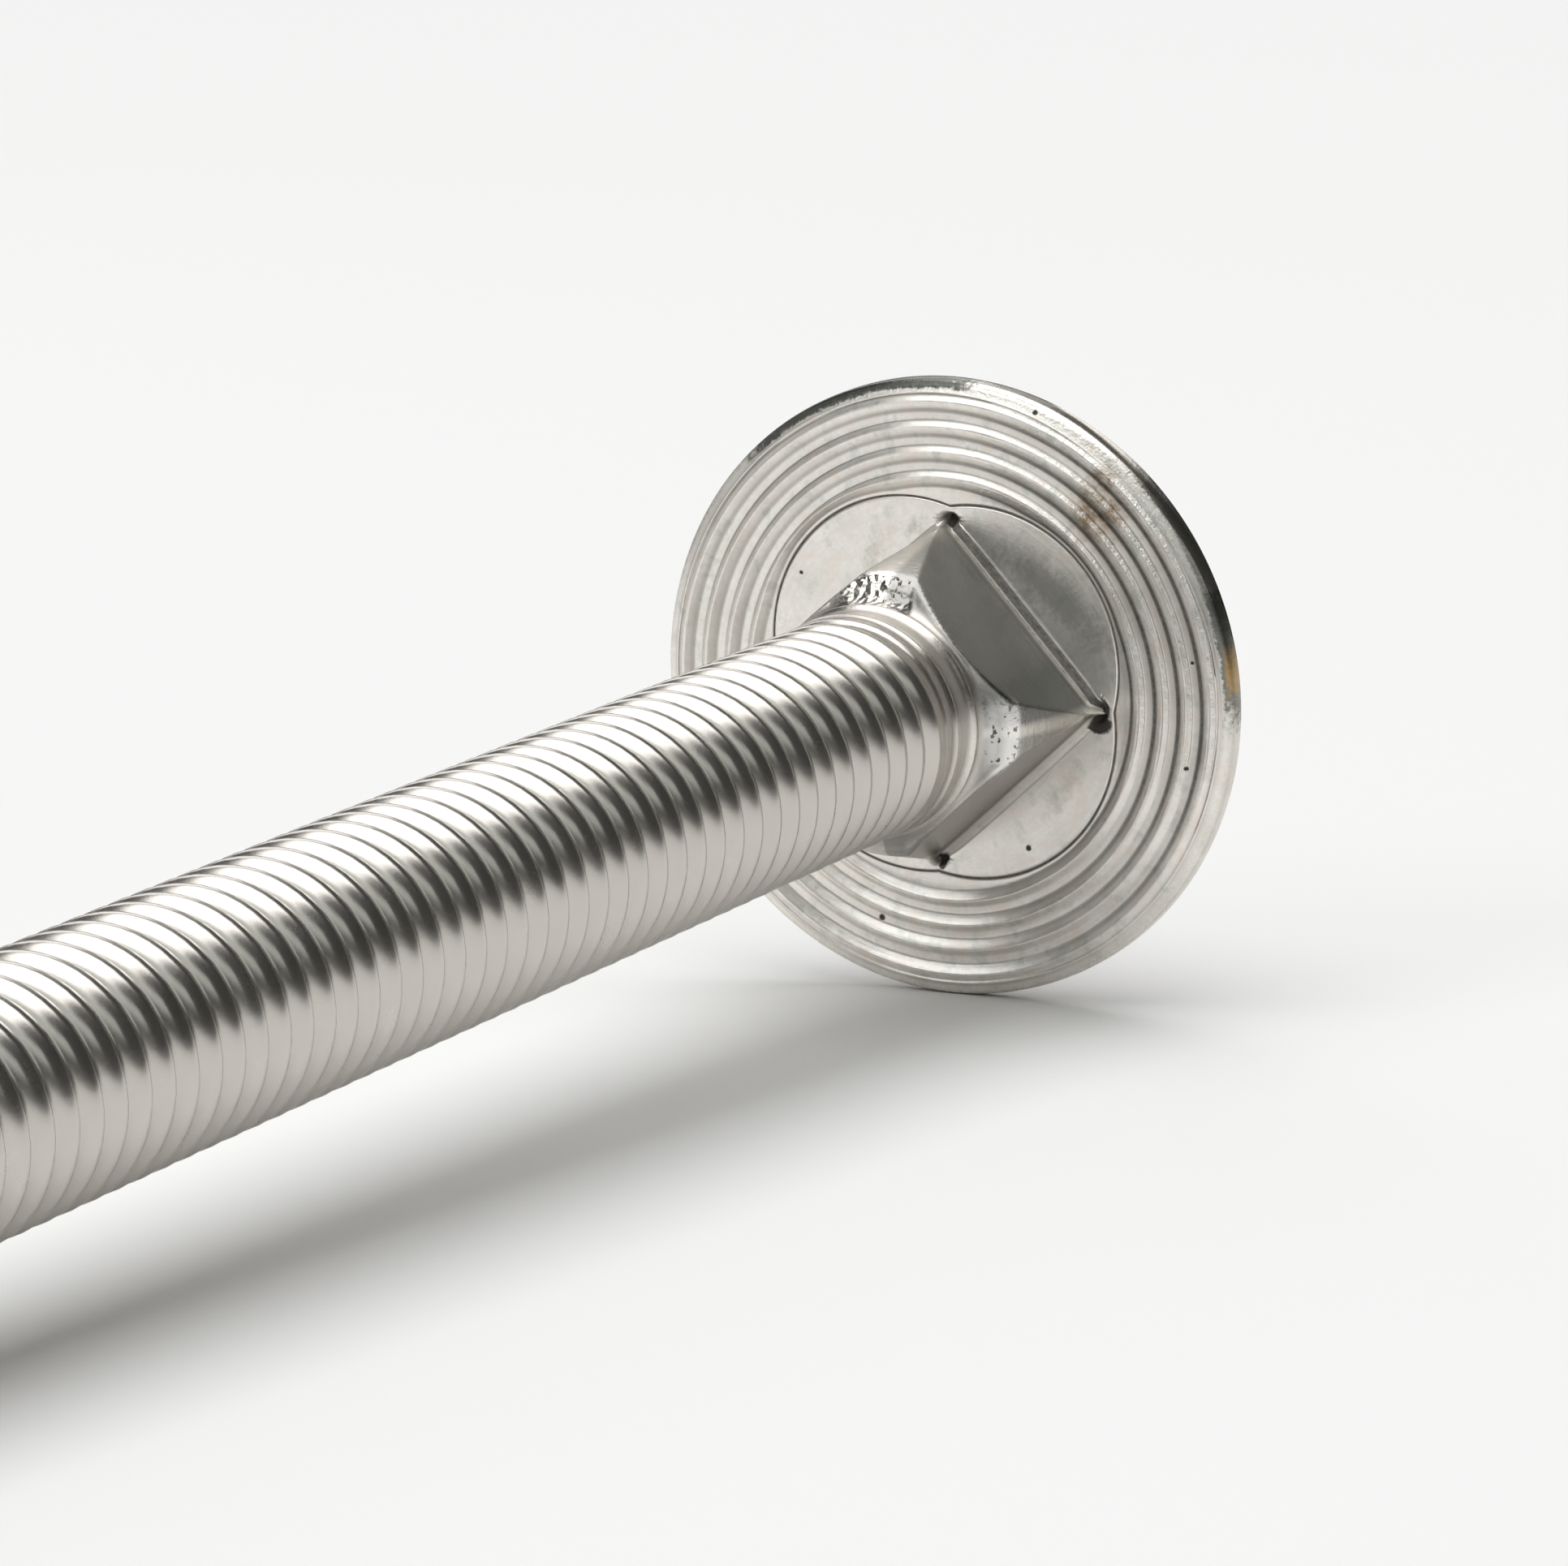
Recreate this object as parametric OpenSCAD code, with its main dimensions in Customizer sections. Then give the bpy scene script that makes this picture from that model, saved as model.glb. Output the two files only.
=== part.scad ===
// Carriage bolt: one solid piece, a domed head with grip ridges under it, a square neck
// and a threaded shank. It lies on a floor, on the rim of its head and the end of its shank.
// Millimetres. +Z is up, and the origin is on the floor, under the middle of the bolt's box.
// The head is at +X and the tip at -X, with the bolt's axis in the XZ plane.

/* [Bolt] */
// Length under the head
bolt_len = 100; // [60:5:120]
// Outside diameter of the thread
thread_d = 5.9; // [5.8:0.02:5.98]
// Bevel at the end of the thread
tip_bevel = 0.7; // [0.4:0.05:1.2]

/* [Head] */
// Diameter of the head
head_d = 16.5; // [15.5:0.1:18]
// Height of the head, from its underside to the top of the dome
head_h = 3.4; // [3:0.05:3.9]
// Width of the bevel between the underside and the rim
rim_bevel_w = 0.38; // [0.2:0.01:0.45]
// Height of that bevel
rim_bevel_h = 0.34; // [0.2:0.01:0.45]
// Height of the straight band at the rim, between the bevel and the dome
rim_band_h = 0.3; // [0.2:0.01:0.5]

/* [Ridges under the head] */
// Number of round ridges
ridge_count = 4; // [1:1:4]
// Flat left between the last ridge and the rim's bevel
ridge_edge_gap = 0.04; // [0.02:0.01:0.2]
// Width of a ridge at its foot, as a share of the distance from ridge to ridge
ridge_share = 0.6; // [0.4:0.01:0.7]
// Height of a ridge
ridge_h = 0.12; // [0.06:0.01:0.18]
// Width of a ridge's steep inner side, as a share of the ridge
ridge_inner_share = 0.18; // [0.1:0.01:0.3]
// Width of a ridge's crest, as a share of the ridge
ridge_crest_share = 0.3; // [0.2:0.01:0.4]

/* [Petal line round the neck] */
// Distance from a corner of the neck to the point between two petals
petal_corner_gap = 0.47; // [0.4:0.01:0.6]
// How much farther the middle of a petal reaches from the axis than that point
petal_bulge = 0.37; // [0.3:0.01:0.5]
// Distance from the middle of a petal to the first ridge
petal_ridge_gap = 0.13; // [0.08:0.01:0.2]
// Width of the fine groove round the petals
petal_line_w = 0.05; // [0.03:0.01:0.06]
// Depth of that groove
petal_line_depth = 0.05; // [0.03:0.01:0.08]

/* [Square neck] */
// Width of the square neck across its flats
neck_w = 6.3; // [6.2:0.02:6.48]
// Height over the head at which the shoulder starts at the corners
shoulder_start = 3.55; // [3.1:0.05:4]
// How much closer to the axis the cut corners are where the shoulder starts
corner_cut = 0.7; // [0.5:0.05:0.9]
// Slope of the shoulder, measured from the bolt's axis, in degrees
shoulder_slope = 45; // [35:1:60]
// Reach of the hollow foot beyond the flats
foot_w = 0.28; // [0.2:0.01:0.35]
// Height of the hollow foot, where the corners start to narrow
foot_h = 0.7; // [0.5:0.01:0.8]
// Radius of the foot's hollow
foot_hollow_r = 1; // [0.7:0.05:1.5]
// Radius of the small pit at the foot of each corner
pit_r = 0.28; // [0.2:0.01:0.32]
// Turn of the square neck about the bolt's axis, from a corner straight up, in degrees
neck_turn = -3.2; // [-44:0.2:44]

/* [Hidden] */
$fn = 96;

sides = 4;
quarter = 360 / sides;
overlap = 0.3;              // how far joined shapes reach into each other
head_r = head_d / 2;
thread_r = thread_d / 2;
tip_r = thread_r - tip_bevel;
corner_r = neck_w / sqrt(2);

// the dome is part of a ball that starts at the edge of the rim's band
rim_h = rim_bevel_h + rim_band_h;
dome_h = head_h - rim_h;
dome_r = (pow(head_r, 2) + pow(dome_h, 2)) / (2 * dome_h);
dome_z = dome_r - head_h;

// a petal's arc runs through its middle and through the points at both sides
petal_point_r = corner_r + petal_corner_gap;
petal_reach = petal_point_r + petal_bulge;
petal_shift = (pow(petal_reach, 2) - pow(petal_point_r, 2))
    / (2 * petal_reach - petal_point_r * sqrt(2));
petal_r = petal_reach - petal_shift;

// the ridges fill the ring between the petals and the rim's bevel
ridge_first_r = petal_reach + petal_ridge_gap;
ridge_room = head_r - rim_bevel_w - ridge_edge_gap - ridge_first_r;
ridge_pitch = ridge_room / (ridge_count - 1 + ridge_share);
ridge_w = ridge_pitch * ridge_share;
ridge_inner_w = ridge_w * ridge_inner_share;
ridge_crest_w = ridge_w * ridge_crest_share;

corner_top_r = corner_r - corner_cut;
neck_end = shoulder_start + (corner_top_r - thread_r) / tan(shoulder_slope);

// the bolt's lean on the floor, and the place of the head's underside over it
lean = atan2(head_r - thread_r, bolt_len - tip_bevel + rim_bevel_h);
place_z = head_r * cos(lean) - rim_bevel_h * sin(lean);
head_side = dome_r - dome_z * cos(lean);
tip_side = bolt_len * cos(lean) + tip_r * sin(lean);
place_x = (tip_side - head_side) / 2;

// Half the outline of the head, from the axis outwards, with its underside at zero.
module head_outline() {
    intersection() {
        translate([0, dome_z]) circle(r = dome_r, $fn = 360);
        translate([0, -head_h - overlap]) square([head_r, dome_h + overlap]);
    }
    polygon([
        [0, -rim_h],
        [head_r, -rim_h],
        [head_r, -rim_bevel_h],
        [head_r - rim_bevel_w, 0],
        [0, 0]
    ]);
}

// One ridge: a steep inner side, a narrow crest and a longer slope outwards.
module ridge_outline() {
    polygon([
        [0, -overlap],
        [0, 0],
        [ridge_inner_w, ridge_h],
        [ridge_inner_w + ridge_crest_w, ridge_h],
        [ridge_w, 0],
        [ridge_w, -overlap]
    ]);
}

module head() {
    rotate_extrude() {
        head_outline();
        for (i = [0 : ridge_count - 1]) {
            translate([ridge_first_r + i * ridge_pitch, 0]) ridge_outline();
        }
    }
}

// Four round petals that meet at points beside the neck's corners.
module petals(inset) {
    for (i = [0 : sides - 1]) {
        rotate(i * quarter) translate([petal_shift, 0]) circle(r = petal_r - inset);
    }
}

module petal_line() {
    translate([0, 0, -petal_line_depth]) linear_extrude(height = petal_line_depth + overlap) {
        difference() {
            petals(0);
            petals(petal_line_w);
        }
    }
}

// The round limits of the neck: corners that narrow, then the shoulder down to the shank.
module neck_limits() {
    rotate_extrude() {
        polygon([
            [0, -overlap],
            [corner_r + overlap, -overlap],
            [corner_r + overlap, foot_h],
            [corner_r, foot_h],
            [corner_top_r, shoulder_start],
            [thread_r, neck_end],
            [0, neck_end]
        ]);
    }
}

// A hollow fillet along the foot of one flat.
module foot() {
    half = neck_w / 2;
    chord = norm([foot_w, foot_h]);
    away = sqrt(pow(foot_hollow_r, 2) - pow(chord / 2, 2));
    rotate([90, 0, 0]) linear_extrude(height = neck_w, center = true) {
        difference() {
            polygon([
                [half - overlap, -overlap],
                [half + foot_w, -overlap],
                [half + foot_w, 0],
                [half, foot_h],
                [half - overlap, foot_h]
            ]);
            translate([
                half + foot_w / 2 + away * foot_h / chord,
                foot_h / 2 + away * foot_w / chord
            ]) circle(r = foot_hollow_r);
        }
    }
}

module square_neck() {
    intersection() {
        translate([-neck_w / 2, -neck_w / 2, -overlap]) {
            cube([neck_w, neck_w, neck_end + overlap]);
        }
        neck_limits();
    }
    for (i = [0 : sides - 1]) {
        rotate(i * quarter) foot();
    }
}

module corner_pits() {
    for (i = [0 : sides - 1]) {
        rotate((i + 0.5) * quarter) translate([corner_r, 0, 0]) sphere(r = pit_r);
    }
}

module shank() {
    cylinder(r = thread_r, h = bolt_len - tip_bevel);
    translate([0, 0, bolt_len - tip_bevel]) cylinder(r1 = thread_r, r2 = tip_r, h = tip_bevel);
}

// The bolt along +Z, its head's underside at zero. A corner of the neck points along +X,
// which is up once the bolt lies down, apart from the small turn of the neck.
module upright_bolt() {
    difference() {
        union() {
            head();
            rotate(quarter / 2 + neck_turn) square_neck();
            shank();
        }
        rotate(quarter / 2 + neck_turn) {
            petal_line();
            corner_pits();
        }
    }
}

module carriage_bolt() {
    color([0.74, 0.72, 0.68]) {
        translate([place_x, 0, place_z]) rotate([0, -90 - lean, 0]) upright_bolt();
    }
}

carriage_bolt();
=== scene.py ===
import math

import bmesh
import bpy
from mathutils import Matrix, Vector, noise


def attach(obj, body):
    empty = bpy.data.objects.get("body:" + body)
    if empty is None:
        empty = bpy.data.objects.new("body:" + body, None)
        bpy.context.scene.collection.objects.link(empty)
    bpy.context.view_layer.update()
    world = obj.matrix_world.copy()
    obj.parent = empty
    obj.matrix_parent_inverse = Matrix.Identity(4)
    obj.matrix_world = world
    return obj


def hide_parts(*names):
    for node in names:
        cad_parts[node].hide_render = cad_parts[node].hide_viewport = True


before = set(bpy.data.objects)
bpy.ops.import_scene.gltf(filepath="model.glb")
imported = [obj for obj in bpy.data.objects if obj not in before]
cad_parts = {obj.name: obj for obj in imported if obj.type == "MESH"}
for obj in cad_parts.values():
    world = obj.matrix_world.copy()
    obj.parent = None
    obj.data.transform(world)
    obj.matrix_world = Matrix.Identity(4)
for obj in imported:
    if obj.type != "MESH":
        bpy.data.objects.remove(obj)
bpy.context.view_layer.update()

millimetre = 0.001

# the bolt in millimetres, as it is made: along +Z to the tip, underside of the head at zero,
# +X is up once the bolt lies down and +Y is its left side
bolt = {
    "length": 100.0,
    "threadRadius": 2.95,
    "tipBevel": 0.7,
    "headRadius": 8.25,
    "trim": 0.012,            # how far the rim stays inside the plain solid's box
    "headHeight": 3.4,
    "domeRadius": 13.7102,
    "rimBevelHeight": 0.34,
    "neckHalf": 3.15,
    "neckTurn": -3.2,         # degrees, from a corner straight up
    "cornerRadius": 4.4548,
    "cornerTopRadius": 3.7548,
    "footWidth": 0.28,
    "footCorner": 4.66,
    "shoulderStart": 3.44,
    "shoulderEnd": 4.22,
    "collarRadius": 3.0,
    "petalArc": 4.2516,
    "petalShift": 1.0431,
    "petalPoint": 4.9248,
    "petalReach": (5.5, 5.3, 5.3, 5.38),    # from the upper left one anticlockwise
    "ridgeStart": 5.425,
    "ridgePitch": 0.6681,
    "ridgeCount": 4,
    "pitRadius": 0.3,
    "pitDepth": 0.26,
}
corners = 4
bolt["lean"] = math.atan2(
    bolt["headRadius"] - bolt["threadRadius"],
    bolt["length"] - bolt["tipBevel"] + bolt["rimBevelHeight"],
)


# ---- camera
view = {
    "eye": (-159.314, -101.369, 43.824),      # millimetres
    "forward": (0.8786, 0.4490, -0.1627),
    "lens": 204.73,
    "sensor": 36,
    "clip": (0.01, 20),                       # metres
}


def makeCamera():
    data = bpy.data.cameras.new("camera")
    data.sensor_width = view["sensor"]
    data.lens = view["lens"]
    data.clip_start, data.clip_end = view["clip"]
    camera = bpy.data.objects.new("camera", data)
    camera.location = Vector(view["eye"]) * millimetre
    camera.rotation_mode = "QUATERNION"
    camera.rotation_quaternion = Vector(view["forward"]).to_track_quat("-Z", "Y")
    bpy.context.scene.collection.objects.link(camera)
    bpy.context.scene.camera = camera


makeCamera()
print("camera is in place")


# ---- helpers for the materials
class Signal:
    def __init__(self, graph, socket):
        self.graph, self.socket = graph, socket

    def calc(self, operation, *others):
        sockets = dict(enumerate((self,) + others))
        return self.graph.node("ShaderNodeMath", {"operation": operation}, sockets)

    def __add__(self, other):
        return self.calc("ADD", other)

    def __mul__(self, other):
        return self.calc("MULTIPLY", other)

    def __sub__(self, other):
        return self.calc("SUBTRACT", other)

    def __rsub__(self, other):
        return self.graph.node("ShaderNodeMath", {"operation": "SUBTRACT"}, {0: other, 1: self})

    __radd__ = __add__
    __rmul__ = __mul__

    def ramp(self, none, full):       # 0 at none, 1 at full, smooth between
        settings = {"interpolation_type": "SMOOTHSTEP"}
        return self.graph.node("ShaderNodeMapRange", settings, {0: self, 1: none, 2: full})

    def band(self, low, high, soft):  # 1 between low and high
        return self.ramp(low - soft, low + soft) * self.ramp(high + soft, high - soft)


class Graph:
    def __init__(self, name):
        self.material = bpy.data.materials.new(name)
        self.material.use_nodes = True
        self.tree = self.material.node_tree
        self.tree.nodes.clear()

    def node(self, kind, settings=None, sockets=None, output=0):
        made = self.tree.nodes.new(kind)
        for name, value in (settings or {}).items():
            setattr(made, name, value)
        for name, value in (sockets or {}).items():
            if isinstance(value, Signal):
                self.tree.links.new(value.socket, made.inputs[name])
            else:
                made.inputs[name].default_value = value
        return Signal(self, made.outputs[output])

    def vector(self, x, y, z):
        return self.node("ShaderNodeCombineXYZ", None, {0: x, 1: y, 2: z})

    def measure(self, operation, *vectors):       # a number from one or two vectors
        sockets = dict(enumerate(vectors))
        return self.node("ShaderNodeVectorMath", {"operation": operation}, sockets, "Value")

    def noise(self, place, scale, detail=2.0, roughness=0.5):
        sockets = {"Vector": place, "Scale": scale, "Detail": detail, "Roughness": roughness}
        return self.node("ShaderNodeTexNoise", None, sockets)

    def mix(self, share, first, second):
        settings = {"data_type": "RGBA", "blend_type": "MIX"}
        return self.node("ShaderNodeMix", settings, {0: share, 6: first, 7: second}, 2)

    def finish(self, shader):
        output = self.tree.nodes.new("ShaderNodeOutputMaterial")
        self.tree.links.new(shader.socket, output.inputs["Surface"])
        return self.material


# ---- floor
floor = {                     # metres
    "outline": [
        (0, 0), (0.5, 0), (1.2, 0), (2.2, 0), (2.5, 0.03), (2.8, 0.12), (3.1, 0.32),
    ],
    "steps": 96,
    "colour": (0.885, 0.885, 0.88, 1),
    "farColour": (0.895, 0.895, 0.892, 1),
    "fadeToFar": (0.14, 0.42),    # distance at which the far colour starts, and is full
    "mirrorEnds": (1.9, 1.4),     # the steel mirrors a dim room past the floor
}


def floorMaterial():
    graph = Graph("pale_floor")
    place = graph.node("ShaderNodeTexCoord", output="Object")
    distance = graph.measure("LENGTH", place)
    seen, mirrored, through = (
        graph.node("ShaderNodeLightPath", output=name)
        for name in ("Is Camera Ray", "Is Glossy Ray", "Is Transmission Ray")
    )
    near = distance.ramp(*floor["mirrorEnds"])
    rays = seen.calc("MAXIMUM", mirrored * near).calc("MAXIMUM", through)
    paper = graph.node("ShaderNodeBsdfDiffuse", None, {"Color": floor["colour"]})
    glow = graph.node("ShaderNodeEmission", None, {"Color": floor["farColour"], "Strength": 1.0})
    share = distance.ramp(*floor["fadeToFar"]) * rays
    shader = graph.node("ShaderNodeMixShader", None, {0: share, 1: paper, 2: glow})
    return graph.finish(shader)


def makeFloor():
    bm = bmesh.new()
    line = [bm.verts.new((x, 0, z)) for x, z in floor["outline"]]
    edges = [bm.edges.new(pair) for pair in zip(line, line[1:])]
    bmesh.ops.spin(
        bm, geom=line + edges, cent=(0, 0, 0), axis=(0, 0, 1), angle=2 * math.pi,
        steps=floor["steps"], use_merge=True,
    )
    bmesh.ops.remove_doubles(bm, verts=bm.verts, dist=0.0001)
    bmesh.ops.recalc_face_normals(bm, faces=bm.faces)
    if sum(face.normal.z for face in bm.faces) < 0:
        bmesh.ops.reverse_faces(bm, faces=bm.faces)
    mesh = bpy.data.meshes.new("floor")
    bm.to_mesh(mesh)
    bm.free()
    mesh.polygons.foreach_set("use_smooth", [True] * len(mesh.polygons))
    mesh.materials.append(floorMaterial())
    made = bpy.data.objects.new("floor", mesh)
    bpy.context.scene.collection.objects.link(made)


makeFloor()
print("floor is made")


# ---- light
lamps = {
    # name: (centre, point it faces, width, height, brightness of its face, colour)
    "overhead": ((0.05, 0.08, 1.15), (0.05, 0.08, 0), 1.75, 1.4, 2.24, (1, 1, 1)),
    "back": ((0.865, 0.61, 0.545), (0, 0, 0), 0.53, 0.52, 1.45, (1, 1, 1)),
    "backEnd": ((1.02, 0.27, 0.545), (0, 0, 0), 0.2, 0.5, 0.4, (1, 1, 1)),
    "left": ((-0.05, 1.2, 0.42), (0, 0, 0), 1.6, 0.75, 0.42, (1, 0.99, 0.97)),
    "right": ((-0.75, -1.05, 0.72), (0, 0, 0), 0.7, 0.45, 0.6, (0.95, 1, 0.97)),
    "window": ((-0.91, 0.43, 0.62), (0, 0, 0), 0.75, 0.32, 1.8, (0.97, 0.99, 1)),
    "front": ((-1.05, 0.0, 0.87), (0, 0, 0), 1.8, 0.8, 0.65, (0.94, 1, 0.97)),
}
world = {"colour": (0.036, 0.035, 0.032, 1)}


def makeLamps():
    for name, (centre, target, width, height, brightness, colour) in lamps.items():
        data = bpy.data.lights.new(name, "AREA")
        data.shape = "RECTANGLE"
        data.size, data.size_y = width, height
        data.energy = brightness * math.pi * width * height
        data.color = colour
        made = bpy.data.objects.new(name, data)
        made.location = centre
        made.rotation_mode = "QUATERNION"
        made.rotation_quaternion = (Vector(target) - Vector(centre)).to_track_quat("-Z", "Y")
        bpy.context.scene.collection.objects.link(made)
    room = bpy.data.worlds.new("room")
    room.use_nodes = True
    background = room.node_tree.nodes["Background"]
    background.inputs["Color"].default_value = world["colour"]
    bpy.context.scene.world = room


# a dark card that only shows in the steel, low behind the head
card = {"centre": (0.79, 0.42, 0.085), "size": (0.75, 0.17), "colour": (0.2, 0.2, 0.19, 1)}


def makeCard():
    bm = bmesh.new()
    bmesh.ops.create_grid(bm, x_segments=1, y_segments=1, size=0.5)
    bmesh.ops.scale(bm, vec=(card["size"][0], card["size"][1], 1), verts=bm.verts)
    turn = Vector(card["centre"]).to_track_quat("Z", "Y")
    bmesh.ops.transform(
        bm, matrix=Matrix.Translation(card["centre"]) @ turn.to_matrix().to_4x4(), verts=bm.verts,
    )
    mesh = bpy.data.meshes.new("card")
    bm.to_mesh(mesh)
    bm.free()
    graph = Graph("dark_card")
    mesh.materials.append(graph.finish(
        graph.node("ShaderNodeBsdfDiffuse", None, {"Color": card["colour"]})
    ))
    made = bpy.data.objects.new("card", mesh)
    made.visible_camera = made.visible_diffuse = made.visible_shadow = False
    bpy.context.scene.collection.objects.link(made)


makeLamps()
makeCard()
bpy.context.scene.view_settings.view_transform = "Standard"
print("lamps are made")


# ---- head, neck and collar: one outline spun round the bolt's axis, then shaped row by row
head = {
    "steps": 320,             # columns in a full turn
    "edgeShare": 0.65,        # share of a flat's half that stays on the flat, by columns
    "cornerEdge": 44.4,       # degrees from a flat's middle to the sharp corner's first column
    "footEdge": 42.6,         # and to the rounded corner of the foot
    "footRounding": 24,       # power that rounds the foot's corners
    "domeRows": 18,
    "domeInset": (0.003, 0.001),  # keeps it inside the plain solid (edge in radians, height)
    "ridgeFrom": 0.2,         # a ridge's rows start less than this before its inner foot
    # the last number of each row darkens the steel there: partly dirt, partly painted shade at
    # the ridge feet, valleys, grooves and the foot strip
    "rim": [                  # (radius, place along the bolt, dirt and painted shade)
        (8.24, -0.64, 0), (8.25, -0.6, 0), (8.25, -0.5, 0), (8.25, -0.41, 0),
        (8.245, -0.3, 0.1), (8.235, -0.22, 0.1), (8.205, -0.165, 0), (8.15, -0.13, 0),
        (8.05, -0.085, 0), (7.965, -0.048, 0.2), (7.945, -0.02, 0.3), (7.92, 0.012, 0),
        (7.895, 0.016, 0), (7.87, 0.002, 0.2),
    ],
    "ridge": [                # (distance from the ridge's inner foot, height, dirt and painted shade)
        (0.425, 0.0, 0), (0.39, 0.004, 0.9), (0.36, 0.022, 0.3), (0.33, 0.046, 0),
        (0.295, 0.078, 0), (0.265, 0.103, 0), (0.24, 0.118, 0), (0.215, 0.118, 0),
        (0.19, 0.109, 0), (0.14, 0.088, 0), (0.08, 0.0625, 0.3), (0.025, 0.039, 0.9),
        (-0.025, 0.0175, 1), (-0.075, 0.0, 1), (-0.105, -0.002, 0.3),
    ],
    "firstRidgeEnd": [(-0.08, 0.0, 0)],     # instead of the last two places of that list
    "firstRidgeGap": 0.015,   # between the petal line and the first ridge
    "petalLine": [            # (distance from the petal's edge, place along the bolt, dirt and painted shade)
        (0.05, 0.0, 0), (0.015, 0.0, 0), (0.005, -0.03, 0.9), (-0.02, -0.05, 1),
        (-0.045, -0.03, 0.9), (-0.06, 0.0, 0), (-0.1, 0.0, 0),
    ],
    "petal": [0.12, 0.28, 0.44, 0.6, 0.76, 0.88, 0.96],
    "foot": [                 # (share of the width, place along, dirt and painted shade upper right, elsewhere)
        (1.0, 0.0, 0, 0.6), (0.96, 0.015, 0, 0.3), (0.84, 0.035, 1, 0.08),
        (0.6, 0.13, 1, 0.12), (0.36, 0.22, 1, 0.15), (0.33, 0.235, 0.6, 0.2),
        (0.22, 0.255, 0, 0.3), (0.18, 0.275, 0, 0.6), (0.08, 0.4, 0.5, 0.6), (0.0, 0.62, 0, 0),
    ],
    "neck": [0.03, 0.1, 0.22, 0.36, 0.5, 0.64, 0.78, 0.89, 0.96, 1.0],
    "shoulder": [             # (share of the way inwards, share of the way along, dirt and painted shade)
        (0.06, 0.1, 0), (0.18, 0.26, 0), (0.26, 0.29, 0.1), (0.48, 0.35, 0.3),
        (0.72, 0.48, 0.2), (0.88, 0.7, 0.2), (0.97, 0.88, 0.35), (1.0, 1.0, 0.2),
    ],
    "collar": [               # (radius, place along the bolt, dirt and painted shade)
        (3.03, 4.28, 0), (3.06, 4.34, 0), (3.07, 4.40, 0), (3.05, 4.46, 0), (3.0, 4.51, 0),
        (2.955, 4.57, 0.3), (2.94, 4.68, 0.25), (2.93, 4.86, 0.2), (2.935, 5.04, 0.2),
        (2.95, 5.13, 0.1), (2.975, 5.2, 0), (2.985, 5.27, 0), (2.975, 5.34, 0),
        (2.945, 5.4, 0.2), (2.93, 5.48, 0.3), (2.935, 5.6, 0.1), (2.945, 5.70, 0),
    ],
}


def headRows():
    rows = []                 # (kind, first number, second number, dirt and painted shade)
    widest = math.asin(bolt["headRadius"] / bolt["domeRadius"])
    centre = bolt["domeRadius"] - bolt["headHeight"]
    edgeInset, heightInset = head["domeInset"]
    for step in range(head["domeRows"] + 1):
        angle = (widest - edgeInset) * step / head["domeRows"]
        radius = bolt["domeRadius"] * math.sin(angle)
        height = centre - bolt["domeRadius"] * math.cos(angle)
        rows.append(("round", radius, height + heightInset, 0))
    rows += [("rim",) + place for place in head["rim"]]
    for ridge in reversed(range(bolt["ridgeCount"])):
        start = bolt["ridgeStart"] + ridge * bolt["ridgePitch"]
        points = head["ridge"] if ridge else head["ridge"][:-2] + head["firstRidgeEnd"]
        rows += [("ridge", start + out, height, dirtAndShade) for out, height, dirtAndShade in points]
    rows += [("petalLine",) + place for place in head["petalLine"]]
    rows += [("petal", share, 0.0, 0) for share in head["petal"]]
    rows += [("foot", share, along, dirtAndShade) for share, along, *dirtAndShade in head["foot"]]
    rows += [("neck", share, 0.0, 0) for share in head["neck"]]
    rows += [("shoulder",) + place for place in head["shoulder"]]
    rows += [("round",) + place for place in head["collar"]]
    return rows


def blend(first, second, share):
    return first + (second - first) * share


# the angle from the middle of a flat, in degrees, where a column stands when the flat ends at
# edge degrees from its middle
def columnAngle(turn, edge):
    part = abs(turn) / 45
    share = head["edgeShare"]
    if part <= share:
        angle = edge * part / share
    else:
        angle = edge + (45 - edge) * (part - share) / (1 - share)
    return math.copysign(angle, turn)


def petalRadius(turn, side):
    angle = math.radians(turn)
    shift, arc, point = bolt["petalShift"], bolt["petalArc"], bolt["petalPoint"]
    radius = shift * math.cos(angle) + math.sqrt(arc ** 2 - (shift * math.sin(angle)) ** 2)
    return point + (radius - point) * (bolt["petalReach"][side] - point) / (shift + arc - point)


def footRadius(turn):
    side = (bolt["neckHalf"] + bolt["footWidth"]) / math.cos(math.radians(turn))
    power = head["footRounding"]
    return (side ** -power + bolt["footCorner"] ** -power) ** (-1 / power)


def neckRadius(turn, limit):
    return min(bolt["neckHalf"] / math.cos(math.radians(turn)), limit)


def flatEdge(limit):          # where a flat meets the cut corner, in degrees from its middle
    edge = math.degrees(math.acos(min(1.0, bolt["neckHalf"] / limit)))
    return min(head["cornerEdge"], edge)


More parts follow.
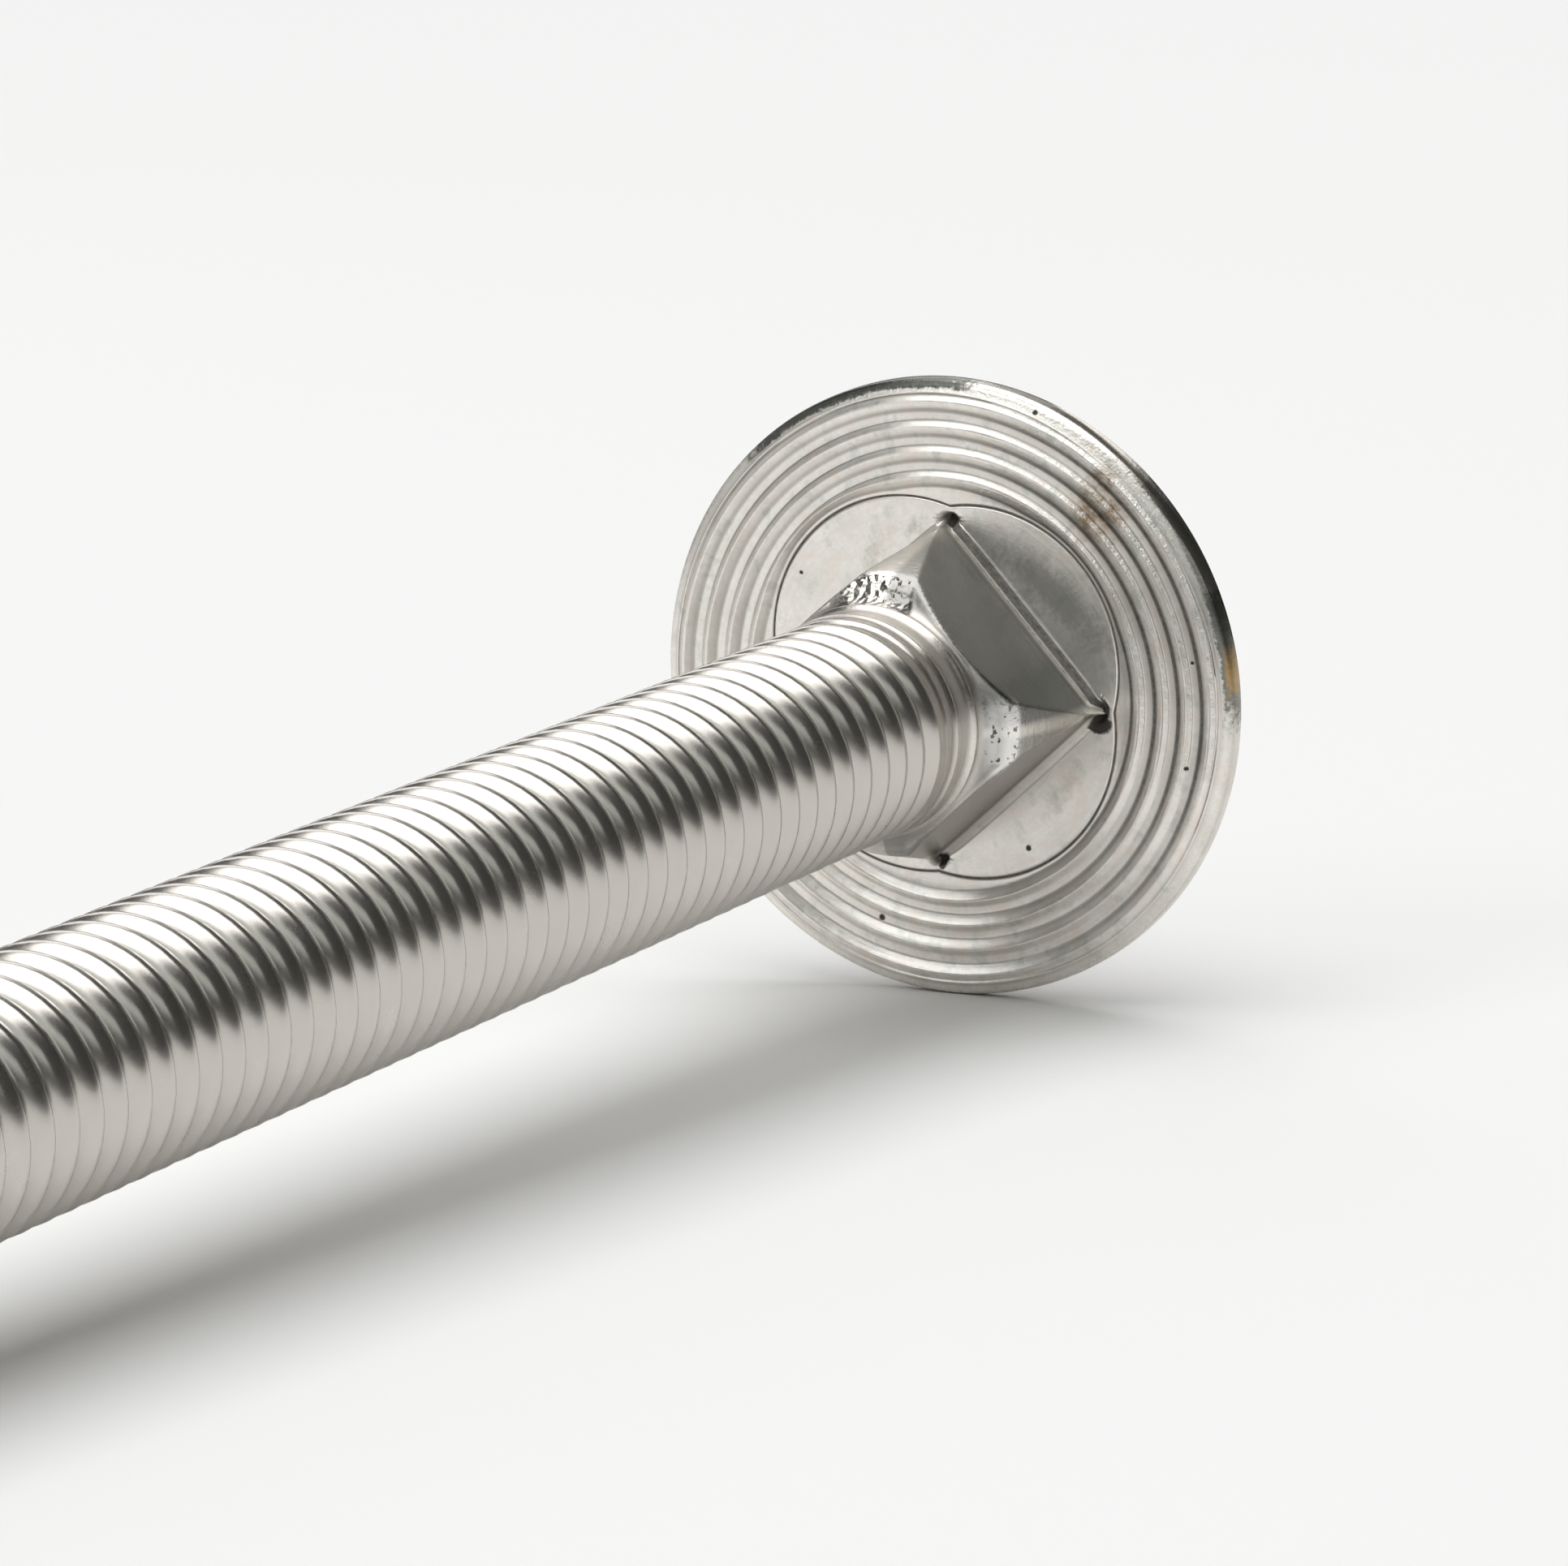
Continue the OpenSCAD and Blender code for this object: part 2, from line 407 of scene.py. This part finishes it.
# (angle from the middle of the flat, radius, place along) of a row's vertex at a column
def rowPlace(kind, first, second, turn, side):
    plainEdge, footEdge = 45 * head["edgeShare"], head["footEdge"]
    if kind == "petalLine":
        return turn, petalRadius(turn, side) + first, second
    if kind == "petal":
        angle = columnAngle(turn, blend(plainEdge, footEdge, first))
        outer = petalRadius(angle, side) + head["petalLine"][-1][0]
        return angle, blend(outer, footRadius(angle), first), 0.0
    if kind == "foot":
        angle = columnAngle(turn, blend(head["cornerEdge"], footEdge, first))
        inner = neckRadius(angle, bolt["cornerRadius"])
        return angle, blend(inner, footRadius(angle), first), second
    topEdge = flatEdge(bolt["cornerTopRadius"])
    share = first if kind == "neck" else 1.0
    limit = blend(bolt["cornerRadius"], bolt["cornerTopRadius"], share)
    angle = columnAngle(turn, flatEdge(limit))
    radius = neckRadius(angle, limit)
    top = bolt["shoulderStart"]
    if abs(turn) / 45 <= head["edgeShare"]:
        reach = bolt["neckHalf"] / math.cos(math.radians(columnAngle(turn, topEdge)))
        top += bolt["cornerTopRadius"] - reach
    along = blend(head["foot"][-1][1], top, share)
    if kind == "shoulder":
        angle = blend(angle, turn, first)
        radius = blend(radius, bolt["collarRadius"], first)
        along = blend(along, bolt["shoulderEnd"], second)
    return angle, radius, along


# slow unevenness round the bolt: noise between -size and size, a larger scale has closer waves
uneven = {
    "scale": 1.7,
    # (size, scale along the bolt, seed)
    "ridgeRadius": (0.014, 0.8, 3),
    "ridgeHeight": (0.16, 2.0, 9),
    "ridgeLift": (0.004, 3.0, 21),
    "rim": (0.012, 1.0, 5),
    "rimWorn": (0.1, -46, 22),    # (depth, degrees from up towards the left, width)
}


def wave(angle, place, name):
    size, scale, seed = uneven[name]
    turn, wide = math.radians(angle), uneven["scale"]
    spot = Vector((math.cos(turn) * wide + seed, math.sin(turn) * wide, place * scale))
    return size * noise.noise(spot)


def hump(angle, middle, width):
    away = (angle - middle + 180) % 360 - 180
    return math.exp(-(away / width) ** 2)


# share of the dirt and painted shade that stays at a ridge, by the angle from up towards the left
soilAndShade = {
    "outerFootFrom": 0.3,     # distance from the ridge's inner foot
    "valleyTo": -0.07,
    "outerFoot": (0.1, 0.9, 35, 45),      # (least share, more in the middle, middle, width)
    "innerFoot": (0.3, 0.9, -75, 70),
    "fadedAt": (172, 45),
}


def soilAndShadeShare(up, out):
    if out > soilAndShade["outerFootFrom"]:
        least, more, middle, width = soilAndShade["outerFoot"]
        return least + more * hump(up, middle, width)
    least, more, middle, width = soilAndShade["innerFoot"]
    if out < soilAndShade["valleyTo"]:
        least = 0
    return least + more * hump(up, middle, width) - least * hump(up, *soilAndShade["fadedAt"])


# (angle, radius, place along, dirt and painted shade) of a row's vertex at an angle of the spun
# outline
def shapedPlace(row, spun):
    kind, first, second, dirtAndShade = row
    side = int(spun // 90)
    middle = 45 + 90 * side
    turn = spun - middle
    if kind in ("round", "rim", "ridge"):
        angle, radius, along = turn, first, second
    else:
        angle, radius, along = rowPlace(kind, first, second, turn, side)
    angle += middle
    up = angle + bolt["neckTurn"]
    if kind == "foot":
        dirtAndShade = dirtAndShade[0] if side == 3 else dirtAndShade[1]
    if kind == "ridge":
        away = first - bolt["ridgeStart"] + head["ridgeFrom"]
        ridge, out = divmod(away, bolt["ridgePitch"])
        if ridge == 0:            # the petal pushes the first ridge outwards
            inner = bolt["ridgeStart"] + head["firstRidgeEnd"][0][0]
            outer = bolt["ridgeStart"] + head["ridge"][0][0]
            line = petalRadius(turn, side) + head["petalLine"][0][0]
            edge = max(inner, line + head["firstRidgeGap"])
            radius = blend(edge, outer, (radius - inner) / (outer - inner))
        # dirt and painted shade at the ridge feet, more or less by the angle round the head
        dirtAndShade = min(dirtAndShade * soilAndShadeShare(up, out - head["ridgeFrom"]), 1)
        radius += wave(angle, first, "ridgeRadius")
        along *= 1 + wave(angle, first, "ridgeHeight")
        along += wave(angle, first, "ridgeLift")
    if kind == "rim":
        depth, worn, width = uneven["rimWorn"]
        radius -= bolt["trim"] + depth * hump(up, worn, width) + abs(wave(angle, along, "rim"))
    return angle, radius, along, dirtAndShade


def spinHead():
    rows = headRows()
    bm = bmesh.new()
    layer = bm.verts.layers.int.new("row")
    soiledAndShaded = bm.verts.layers.float.new("dirtAndShade")
    line = []
    for number in range(len(rows)):
        vert = bm.verts.new((number, 0, number))
        vert[layer] = number
        line.append(vert)
    edges = [bm.edges.new(pair) for pair in zip(line, line[1:])]
    bmesh.ops.spin(
        bm, geom=line + edges, cent=(0, 0, 0), axis=(0, 0, 1), angle=2 * math.pi,
        steps=head["steps"], use_merge=True,
    )
    bmesh.ops.remove_doubles(bm, verts=bm.verts, dist=0.0001)
    for vert in bm.verts:
        if vert[layer] == 0:
            vert.co = (0, 0, rows[0][2])
            continue
        spun = math.degrees(math.atan2(vert.co.y, vert.co.x)) % 360
        angle, radius, along, dirtAndShade = shapedPlace(rows[vert[layer]], spun)
        # the row's dirt and painted shade, kept on the vertex
        vert[soiledAndShaded] = dirtAndShade
        bearing = math.radians(angle)
        vert.co = (radius * math.cos(bearing), radius * math.sin(bearing), along)
    return bm, layer, rows


burr = {                      # at the foot of the right corner
    "outside": 3.9,           # radius from which it can stand
    "reach": 0.34,
    "height": (0.3, 0.12),    # (middle, width) along the bolt
    "turn": (0.3, 0.9),       # (middle, width) in degrees from the right corner
}
# corner pits: their squeeze along the bolt, and the power by which their painted shade fades
# outwards
cornerPit = {"squeeze": 0.8, "pitShadePower": 4}


def finishNeck(bm, layer, rows):
    soiledAndShaded = bm.verts.layers.float["dirtAndShade"]
    soft = ("neck", "shoulder")
    verts = [v for v in bm.verts if rows[v[layer]][0] in soft]
    for smoothing in range(2):
        bmesh.ops.smooth_vert(
            bm, verts=verts, factor=0.5, use_axis_x=True, use_axis_y=True, use_axis_z=True,
        )
    shaped = ("petal", "foot", "neck", "shoulder", "petalLine")
    for vert in bm.verts:
        if rows[vert[layer]][0] not in shaped:
            continue
        place = vert.co
        turn = math.degrees(math.atan2(place.x, -place.y))
        if math.hypot(place.x, place.y) > burr["outside"]:
            high = (place.z - burr["height"][0]) / burr["height"][1]
            aside = (turn - burr["turn"][0]) / burr["turn"][1]
            place.y -= burr["reach"] * math.exp(-high ** 2 - aside ** 2)
        for corner in range(corners):
            bearing = 2 * math.pi * corner / corners
            pit = Vector((math.cos(bearing), math.sin(bearing), 0)) * bolt["cornerRadius"]
            spot = Vector((place.x, place.y, place.z * cornerPit["squeeze"]))
            gap = (spot - pit).length / bolt["pitRadius"]
            if gap < 1:
                # painted shade: the corner pits are darkened, most in their middle
                vert[soiledAndShaded] = max(vert[soiledAndShaded], 1 - gap ** cornerPit["pitShadePower"])
                place.z -= bolt["pitDepth"] * (1 - gap ** 2) ** 0.5


# ---- thread: one turn spun as a helix, set end to end, cut flat at both ends
thread = {
    "pitch": 1.0,
    "depth": 0.38,
    "crest": 2.3,             # over 2 for wide round crests between sharp roots
    "steps": 52,              # columns in a turn
    "segments": 10,           # faces from root to root
    "start": 5.75,
    "end": 99.995,
    "fullFrom": 6.5,
    "tipInset": 0.08,
}


def threadTurn():
    bm = bmesh.new()
    line = []
    for step in range(thread["segments"] + 1):
        share = step / thread["segments"]
        drop = thread["depth"] * abs(1 - 2 * share) ** thread["crest"]
        radius = bolt["threadRadius"] - drop
        line.append(bm.verts.new((radius, 0, share * thread["pitch"])))
    edges = [bm.edges.new(pair) for pair in zip(line, line[1:])]
    bmesh.ops.spin(
        bm, geom=line + edges, cent=(0, 0, 0), axis=(0, 0, 1), angle=2 * math.pi,
        dvec=(0, 0, thread["pitch"] / thread["steps"]), steps=thread["steps"],
    )
    mesh = bpy.data.meshes.new("thread_turn")
    bm.to_mesh(mesh)
    bm.free()
    return mesh


def makeThread():
    turn = threadTurn()
    bm = bmesh.new()
    first = math.floor(thread["start"]) - 2
    turn.transform(Matrix.Translation((0, 0, first)))
    for number in range(int(bolt["length"] - first) + 2):
        bm.from_mesh(turn)
        turn.transform(Matrix.Translation((0, 0, thread["pitch"])))
    bpy.data.meshes.remove(turn)
    bmesh.ops.remove_doubles(bm, verts=bm.verts, dist=0.002)
    tipRadius = bolt["threadRadius"] - bolt["tipBevel"]
    for vert in bm.verts:
        radius = math.hypot(vert.co.x, vert.co.y)
        full = (vert.co.z - thread["start"]) / (thread["fullFrom"] - thread["start"])
        full = min(max(full, 0), 1)
        full = full * full * (3 - 2 * full)
        drop = (bolt["threadRadius"] - radius) * full
        wanted = min(bolt["threadRadius"] - drop, tipRadius + bolt["length"] - vert.co.z)
        vert.co.x *= wanted / radius
        vert.co.y *= wanted / radius
    for height, keep in ((thread["start"], 1), (thread["end"], -1)):
        bmesh.ops.bisect_plane(
            bm, geom=bm.verts[:] + bm.edges[:] + bm.faces[:], dist=0.0005,
            plane_co=(0, 0, height), plane_no=(0, 0, keep), clear_inner=True,
        )
    bmesh.ops.remove_doubles(bm, verts=bm.verts, dist=0.0005)
    tip = [e for e in bm.edges if e.is_boundary and e.verts[0].co.z > bolt["length"] - 0.1]
    made = bmesh.ops.contextual_create(bm, geom=tip)
    bmesh.ops.inset_region(bm, faces=made["faces"], thickness=thread["tipInset"], depth=0)
    mesh = bpy.data.meshes.new("thread")
    bm.to_mesh(mesh)
    bm.free()
    return mesh


# ---- steel
steel = {
    "dark": (0.60, 0.565, 0.52, 1),
    "light": (0.80, 0.765, 0.71, 1),
    "paleDark": (0.78, 0.745, 0.69, 1),     # under the head
    "paleLight": (0.97, 0.945, 0.90, 1),
    "pink": (0.86, 0.77, 0.70, 1),
    "green": (0.66, 0.67, 0.61, 1),
    "thread": (0.58, 0.55, 0.51, 1),
    "chipped": (0.96, 0.94, 0.91, 1),
    # colour of the dirt and of the painted shade in creases, grooves and pits
    "dirtAndShade": (0.045, 0.038, 0.03, 1),
    "brown": (0.36, 0.27, 0.19, 1),
    "smoke": (0.26, 0.26, 0.25, 1),
    # colour of the rim's soot and its painted dark reflection
    "sootAndShade": (0.13, 0.135, 0.12, 1),
    "straw": (0.50, 0.33, 0.14, 1),
    # (scale, detail, roughness) of the noises
    "grainNoise": (7.0, 4.0, 0.7),
    "broadNoise": (0.9, 3.0, 0.55),
    "turnedNoise": (1.0, 3.0, 0.6),
    "tintNoise": (1.7, 3.0, 0.6),
    "brownNoise": (3.2, 3.0, 0.6),
    "speckNoise": (6.0, 2.0, 0.6),
    "foilNoise": (3.4, 1.5, 0.5),
    "turnedSteps": (9.0, 0.12),             # scale across the turned lines, and along them
    # (up, left, direction in degrees, half length, half width, strength) of the marks
    "smokeMarks": [
        (2.75, -3.2, 233, 2.1, 0.55, 0.75), (-1.1, -7.4, 352, 0.5, 0.2, 0.3),
    ],
    "brownMarks": [
        (4.92, -4.54, 318, 1.0, 0.75, 1.0), (5.72, -4.6, 318, 0.75, 0.5, 0.9),
        (-4.2, 1.9, 120, 0.4, 0.2, 0.3), (-2.5, -3.4, 143, 1.1, 0.3, 0.35),
        (3.66, 1.89, 140, 0.7, 0.25, 0.3), (4.25, 0.75, 90, 0.25, 0.2, 0.4),
    ],
    "cornerPits": [
        (-0.62, -4.48, 270, 0.36, 0.26, 1), (4.35, -0.28, 0, 0.33, 0.14, 1),
        (-4.60, 0.16, 0, 0.25, 0.13, 0.9),
    ],
    # (degrees from up towards the left: from, to; radius: from, to; strength) of the rim's marks
    "rimSootAndShade": [
        (-6, 44, 8.0, 8.6, 1.0), (-66, -44, 8.05, 8.6, 0.6), (-92, -66, 8.0, 8.6, 0.85),
    ],
    "rimStraw": [(-87, -79, 8.1, 8.6, 0.85)],
    "pits": [                 # (up, left, radius)
        (2.86, 4.13, 0.05), (-4.07, -2.36, 0.07), (-6.29, 1.97, 0.08), (7.5, -2.75, 0.06),
        (-1.6, -6.95, 0.05), (1.2, -7.15, 0.05),
    ],
}

# limits of the patches, in millimetres or in degrees from up towards the left:
# two numbers for 0 at the first and 1 at the second, three for 1 between two soft edges
patches = {
    "underside": {"along": (-0.14, 0.25, 0.06)},
    "thread": {"along": (5.0, 5.6)},
    "offDome": {"along": (-0.9, -0.6)},
    "lowInPit": {"along": (0.16, 0.08)},
    "chipped": {"left": (-2.9, -3.3), "up": (-1.3, 0.6, 0.2), "along": (3.3, 4.2, 0.1)},
    "torn": {"up": (2.2, 2.7), "left": (-0.95, 1.1, 0.2), "along": (3.55, 4.22, 0.05)},
    "darkFlat": {"bearing": (-91, -5, 2.0)},
    "lowFlat": {"bearing": (-94, -97)},
    "neck": {"along": (0.4, 4.0, 0.1), "radius": (4.6, 4.3)},
    "rightCorner": {"bearing": (-100, -70, 14.0)},
    "rimBurr": {"radius": (7.86, 8.08, 0.05), "bearing": (-60, 40, 12.0), "along": (-0.4, -0.3)},
    "ridgeSlope": {"along": (0.012, 0.108, 0.008), "bearing": (-110, -12, 12.0)},
}


class Place:                  # where a point is on the bolt
    def __init__(self, graph):
        self.graph = graph
        settings = {"attribute_name": "boltPlace"}
        self.vector = graph.node("ShaderNodeAttribute", settings, output="Vector")
        self.up, self.left, self.along = (
            graph.node("ShaderNodeSeparateXYZ", None, {0: self.vector}, name) for name in "XYZ"
        )
        self.flat = graph.vector(self.up, self.left, 0)
        self.radius = graph.measure("LENGTH", self.flat)
        self.bearing = self.left.calc("ARCTAN2", self.up) * (180 / math.pi)
        self.grain = graph.noise(self.vector, *steel["grainNoise"])
        self.broad = graph.noise(self.vector, *steel["broadNoise"])
        fine, slow = steel["turnedSteps"]
        lines = graph.vector(
            self.radius * fine + self.up * slow, self.along * fine, self.left * slow
        )
        self.turned = graph.noise(lines, *steel["turnedNoise"])
        self.ragged = (self.grain - 0.5) * 1.1 + (self.broad - 0.5) * 0.8
        self.offDome = self.patch("offDome")
        self.thread = self.patch("thread")
        self.under = self.patch("underside")

    def patch(self, name):
        mask = None
        for axis, limits in patches[name].items():
            coordinate = getattr(self, axis)
            shape = coordinate.band if len(limits) == 3 else coordinate.ramp
            mask = shape(*limits) if mask is None else mask * shape(*limits)
        return mask

    # strongest of the marks, solid up to inner times their size and gone at outer times
    def marks(self, name, inner=0.3, outer=1.3, rough=1.0):
        total = None
        for high, side, direction, length, width, strength in steel[name]:
            cosine, sine = math.cos(math.radians(direction)), math.sin(math.radians(direction))
            axes = Vector((cosine, sine, 0)) / length, Vector((-sine, cosine, 0)) / width
            longways, across = (
                self.graph.measure("DOT_PRODUCT", self.flat, axis) - axis.dot((high, side, 0))
                for axis in axes
            )
            away = self.graph.measure("LENGTH", self.graph.vector(longways, across, 0))
            mask = (away + self.ragged * rough).ramp(outer, inner) * strength
            total = mask if total is None else total.calc("MAXIMUM", mask)
        return total * (1 - self.thread) * self.offDome

    def rimMarks(self, name):
        bearing, radius = self.bearing + self.ragged * 14.0, self.radius + self.ragged * 0.2
        total = None
        for fromAngle, toAngle, fromRadius, toRadius, strength in steel[name]:
            mask = bearing.band(fromAngle, toAngle, 3.0)
            mask = mask * radius.band(fromRadius, toRadius, 0.04) * strength
            total = mask if total is None else total.calc("MAXIMUM", mask)
        return total * self.offDome

    def dots(self, name):
        total = None
        for high, side, size in steel[name]:
            gap = self.graph.measure("DISTANCE", self.flat, (high, side, 0))
            mask = gap.ramp(size * 1.3, size * 0.6)
            total = mask if total is None else total + mask
        return total * self.under


def plainSteel(graph, place):
    tone = (0.45 * place.broad + 0.35 * place.grain + 0.2 * place.turned).ramp(0.3, 0.7)
    colour = graph.mix(tone, steel["dark"], steel["light"])
    pale = graph.mix(tone, steel["paleDark"], steel["paleLight"])
    tint = graph.noise(place.vector, *steel["tintNoise"])
    pale = graph.mix(tint.ramp(0.5, 0.68) * 0.6, pale, steel["pink"])
    pale = graph.mix((1 - tint.ramp(0.32, 0.46)) * 0.6, pale, steel["green"])
    colour = graph.mix(place.under, colour, pale)
    return graph.mix(place.thread * 0.8, colour, steel["thread"])


def steelMaterial():
    graph = Graph("stainless_steel")
    place = Place(graph)
    grain, broad = place.grain, place.broad

    # marks, from the lowest coat to the highest
    colour = plainSteel(graph, place)
    smoke = place.marks("smokeMarks")
    colour = graph.mix(smoke * 0.85, colour, steel["smoke"])
    # soot and painted reflection: dark arcs on the rim, partly soot, partly a painted dark
    # reflection
    sootAndShade = place.rimMarks("rimSootAndShade") * (0.75 + 0.5 * grain)
    colour = graph.mix(sootAndShade, colour, steel["sootAndShade"])
    patchy = graph.noise(place.vector, *steel["brownNoise"]).ramp(0.4, 0.6)
    brown = place.marks("brownMarks") * (0.4 + 0.6 * patchy)
    colour = graph.mix(brown, colour, steel["brown"])
    # painted shade: the neck's dark flat, and less its lower flat, are painted smoke grey, the
    # right corner darkest; the same mask adds a little relief
    scale = (place.patch("darkFlat") + 0.75 * place.patch("lowFlat")) * place.patch("neck")
    shade = 0.55 + 0.4 * broad + 0.3 * place.patch("rightCorner")
    colour = graph.mix(scale * shade, colour, steel["smoke"])
    colour = graph.mix(place.rimMarks("rimStraw"), colour, steel["straw"])
    chipped = place.patch("chipped")
    colour = graph.mix(chipped * 0.7, colour, steel["chipped"])
    speck = chipped * graph.noise(place.vector, *steel["speckNoise"]).ramp(0.6, 0.66)
    # painted shade: the small pits, and the corner pits low in them, are darkened
    pit = place.dots("pits") + place.marks("cornerPits", 0.8, 1.05, 0.4) * place.patch("lowInPit")
    dirtAndShade = graph.node("ShaderNodeAttribute", {"attribute_name": "dirtAndShade"}, output="Fac")
    # dirt and painted shade: the rows' darkening, the painted shade in the pits and the chipped
    # patch's specks, which also dull the steel
    grimeAndShade = dirtAndShade * (0.85 + 0.5 * (grain - 0.5)) + pit + speck * 0.7
    grimeAndShade = grimeAndShade.calc("MINIMUM", 1.0)
    colour = graph.mix(grimeAndShade * 0.96, colour, steel["dirtAndShade"])

    # relief in millimetres
    torn = place.patch("torn")
    foil = graph.noise(place.vector, *steel["foilNoise"]) * 0.16 - (place.radius - 3.4) * 0.3
    height = (0.005 * grain + 0.004 * place.turned + 0.012 * broad) * (1 - 0.8 * place.thread)
    worn = place.patch("rimBurr") * 0.03 + place.patch("ridgeSlope") * 0.035 + scale * 0.012
    height = height + worn * grain + torn * foil - pit * 0.05
    bump = graph.node(
        "ShaderNodeBump", None, {"Strength": 1.0, "Distance": millimetre, "Height": height}
    )
    roughness = 0.16 + 0.1 * broad + 0.08 * grain + place.under * 0.05 - torn * 0.1
    shader = graph.node("ShaderNodeBsdfPrincipled", None, {
        "Base Color": colour,
        "Metallic": 0.97 - place.under * 0.1 - grimeAndShade * 0.2,
        "Roughness": roughness + smoke * 0.15 + grimeAndShade * 0.35,
        "Normal": bump,
    })
    return graph.finish(shader)


def worldPlace():             # from the bolt as made to the bolt as it lies, in metres
    lean = bolt["lean"]
    sine, cosine = math.sin(lean), math.cos(lean)
    tipRadius = bolt["threadRadius"] - bolt["tipBevel"]
    tipSide = bolt["length"] * cosine + tipRadius * sine
    headSide = bolt["domeRadius"] - (bolt["domeRadius"] - bolt["headHeight"]) * cosine
    placeX = (tipSide - headSide) / 2
    placeZ = bolt["headRadius"] * cosine - bolt["rimBevelHeight"] * sine
    return Matrix((
        (-sine, 0, -cosine, placeX),
        (0, 1, 0, 0),
        (cosine, 0, -sine, placeZ),
        (0, 0, 0, 1),
    ))


def makeBolt():
    bm, layer, rows = spinHead()
    finishNeck(bm, layer, rows)
    bm.verts.layers.int.remove(layer)
    bmesh.ops.rotate(
        bm, verts=bm.verts, cent=(0, 0, 0),
        matrix=Matrix.Rotation(math.radians(bolt["neckTurn"]), 3, "Z"),
    )
    print("head and neck are shaped")
    mesh = makeThread()
    bm.from_mesh(mesh)
    bpy.data.meshes.remove(mesh)
    print("thread is cut")
    loops = [e for e in bm.edges if e.is_boundary]
    bmesh.ops.bridge_loops(bm, edges=loops)
    bmesh.ops.recalc_face_normals(bm, faces=bm.faces)
    print("open edges left:", sum(not e.is_manifold for e in bm.edges), "faces:", len(bm.faces))
    layer = bm.verts.layers.float_vector.new("boltPlace")
    for vert in bm.verts:
        vert[layer] = vert.co
    bmesh.ops.transform(
        bm, matrix=Matrix.Scale(millimetre, 4) @ worldPlace(), verts=bm.verts,
    )
    mesh = bpy.data.meshes.new("steel_bolt")
    bm.to_mesh(mesh)
    bm.free()
    mesh.polygons.foreach_set("use_smooth", [True] * len(mesh.polygons))
    mesh.materials.append(steelMaterial())
    made = bpy.data.objects.new("steel_bolt", mesh)
    bpy.context.scene.collection.objects.link(made)
    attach(made, "root")
    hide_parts("carriage_bolt")


makeBolt()
print("bolt is placed")
